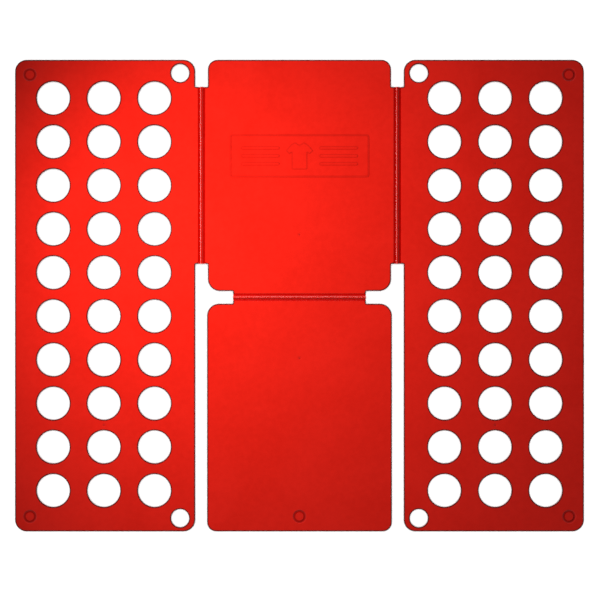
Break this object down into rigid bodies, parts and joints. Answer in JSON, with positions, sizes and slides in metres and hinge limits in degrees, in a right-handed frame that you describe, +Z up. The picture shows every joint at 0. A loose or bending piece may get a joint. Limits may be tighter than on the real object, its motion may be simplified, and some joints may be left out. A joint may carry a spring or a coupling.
{
  "type": "shirt folding board",
  "caption": "Flat plastic board whose side panels and front flap turn over onto its centre panel on double living hinges, to fold a shirt laid on it.",
  "frame": {"origin": "middle of the open board, on the surface that its feet stand on", "axes": "+X to the right-hand panel, +Y to the rear where the collar lies, +Z up"},
  "size_m": [0.69, 0.572, 0.0033],
  "materials": {
    "panel_red": "satin moulded polypropylene",
    "fold_red": "satin moulded polypropylene",
    "foot_red": "satin moulded plastic"
  },
  "bodies": {
    "centre": {"centre_panel": "panel_red"},
    "left_spine": {"left_fold_spine": "fold_red", "left_fold_inner_web": "fold_red", "left_fold_outer_web": "fold_red"},
    "left_side": {"left_panel": "panel_red", "left_rear_foot": "foot_red", "left_front_foot": "foot_red"},
    "right_spine": {"right_fold_spine": "fold_red", "right_fold_inner_web": "fold_red", "right_fold_outer_web": "fold_red"},
    "right_side": {"right_panel": "panel_red", "right_rear_foot": "foot_red", "right_front_foot": "foot_red"},
    "front_spine": {"front_fold_spine": "fold_red", "front_fold_inner_web": "fold_red", "front_fold_outer_web": "fold_red"},
    "flap": {"front_flap": "panel_red", "flap_foot": "foot_red"}
  },
  "joints": [
    {"name": "left_inner_fold", "type": "hinge", "parent": "centre", "child": "left_spine", "pos_m": [-0.11555, 0.14585, 0.0019], "axis": [0, 1, 0], "range_deg": [0, 90], "deforming": ["left_fold_inner_web"]},
    {"name": "left_outer_fold", "type": "hinge", "parent": "left_spine", "child": "left_side", "pos_m": [-0.12205, 0.14585, 0.0019], "axis": [0, 1, 0], "range_deg": [0, 90], "deforming": ["left_fold_outer_web"]},
    {"name": "right_inner_fold", "type": "hinge", "parent": "centre", "child": "right_spine", "pos_m": [0.11555, 0.14585, 0.0019], "axis": [0, -1, 0], "range_deg": [0, 82], "deforming": ["right_fold_inner_web"]},
    {"name": "right_outer_fold", "type": "hinge", "parent": "right_spine", "child": "right_side", "pos_m": [0.12205, 0.14585, 0.0019], "axis": [0, -1, 0], "range_deg": [0, 82], "deforming": ["right_fold_outer_web"]},
    {"name": "front_inner_fold", "type": "hinge", "parent": "centre", "child": "front_spine", "pos_m": [0, 0.0005, 0.00115], "axis": [-1, 0, 0], "range_deg": [0, 90], "deforming": ["front_fold_inner_web"]},
    {"name": "front_outer_fold", "type": "hinge", "parent": "front_spine", "child": "flap", "pos_m": [0, -0.0047, 0.00115], "axis": [-1, 0, 0], "range_deg": [0, 90], "deforming": ["front_fold_outer_web"]}
  ],
  "couplings": [
    {"joint": "left_outer_fold", "follows": "left_inner_fold", "ratio": 1},
    {"joint": "right_outer_fold", "follows": "right_inner_fold", "ratio": 1},
    {"joint": "front_outer_fold", "follows": "front_inner_fold", "ratio": 1}
  ]
}
